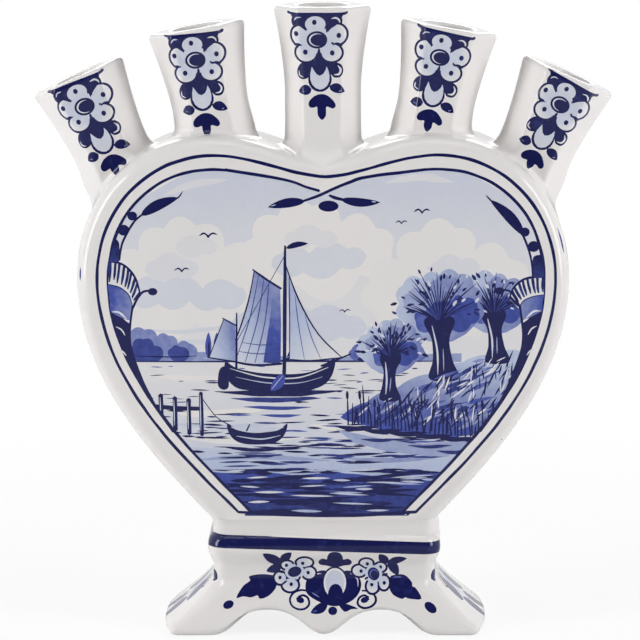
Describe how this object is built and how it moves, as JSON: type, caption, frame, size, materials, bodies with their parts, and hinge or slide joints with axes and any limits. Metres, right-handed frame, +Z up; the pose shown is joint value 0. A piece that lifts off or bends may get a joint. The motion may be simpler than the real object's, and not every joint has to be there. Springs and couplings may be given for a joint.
{
  "type": "tulip vase",
  "caption": "Heart-shaped glazed earthenware flower holder with hexagonal spouts fanned over its shoulders, on a collared foot with a scalloped apron, painted in cobalt blue.",
  "frame": {"origin": "on the ground under the middle of the foot", "axes": "+Z up, painted front towards -Y, spouts fanned along X"},
  "size_m": [0.184, 0.0526, 0.2],
  "materials": {
    "painted_glaze": "glossy white tin glaze with cobalt blue brush painting under it"
  },
  "bodies": {
    "root": {"flask_front": "painted_glaze", "flask_back": "painted_glaze", "foot": "painted_glaze", "spout_far_left": "painted_glaze", "spout_near_left": "painted_glaze", "spout_center": "painted_glaze", "spout_near_right": "painted_glaze", "spout_far_right": "painted_glaze"}
  },
  "joints": []
}
